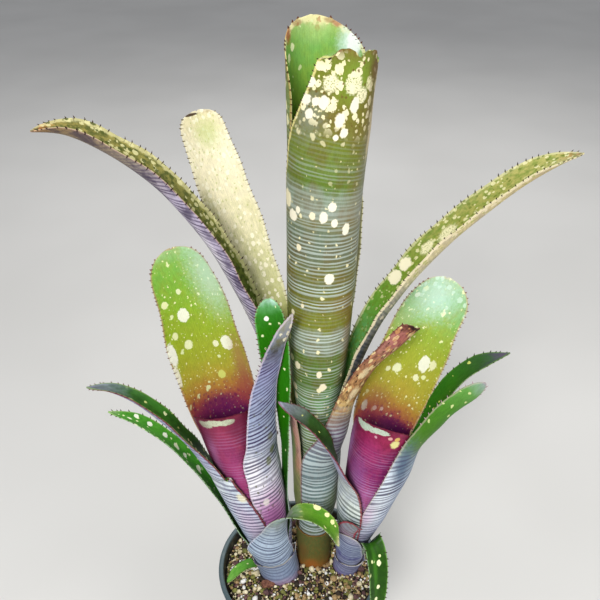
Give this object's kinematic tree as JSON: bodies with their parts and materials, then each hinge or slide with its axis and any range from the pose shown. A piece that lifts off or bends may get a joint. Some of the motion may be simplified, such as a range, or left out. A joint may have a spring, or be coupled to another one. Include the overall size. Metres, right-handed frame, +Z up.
{
  "type": "potted bromeliad",
  "caption": "Tall tubular spotted bromeliad with side pups, banded spiny-edged leaves and magenta cups, standing in gritty mix in a plain round tapered pot.",
  "frame": {"origin": "middle of the pot's flat underside", "axes": "+Z up, -Y towards the side that the picture shows, +X to the right in the picture"},
  "size_m": [0.2872, 0.1625, 0.4524],
  "materials": {
    "pot_plastic": "satin",
    "potting_mix": "rough grains",
    "stem_tissue": "matte",
    "tube_green": "satin",
    "inner_teal": "satin",
    "cream_leaf": "satin",
    "arching_leaf": "satin",
    "cut_leaf": "matte",
    "base_sheath": "matte",
    "silver_sheath": "satin",
    "cup_magenta": "satin",
    "pup_leaf": "satin",
    "spotted_green": "satin",
    "dark_green": "satin"
  },
  "bodies": {
    "root": {"pot": "pot_plastic", "potting_mix": "potting_mix", "mother_stem": "stem_tissue", "left_stem": "stem_tissue", "right_stem": "stem_tissue", "mother_front_leaf": "tube_green", "mother_back_leaf": "inner_teal", "mother_rear_leaf": "cream_leaf", "mother_cream_leaf": "cream_leaf", "mother_left_arching_leaf": "arching_leaf", "mother_right_arching_leaf": "arching_leaf", "mother_cut_leaf": "cut_leaf", "mother_base_sheath": "base_sheath", "left_back_leaf": "pup_leaf", "left_cup_leaf": "cup_magenta", "left_silver_leaf": "silver_sheath", "left_arching_leaf": "dark_green", "left_spotted_leaf": "spotted_green", "left_side_leaf": "spotted_green", "left_scale_leaf": "spotted_green", "left_base_ring": "silver_sheath", "left_soil_leaf": "spotted_green", "right_back_leaf": "pup_leaf", "right_cup_leaf": "cup_magenta", "right_spotted_leaf": "spotted_green", "right_silver_leaf": "silver_sheath", "right_crossing_leaf": "dark_green", "right_drooping_leaf": "spotted_green", "right_small_leaf": "dark_green", "right_scale_leaf": "silver_sheath", "right_base_ring": "silver_sheath"}
  },
  "joints": []
}
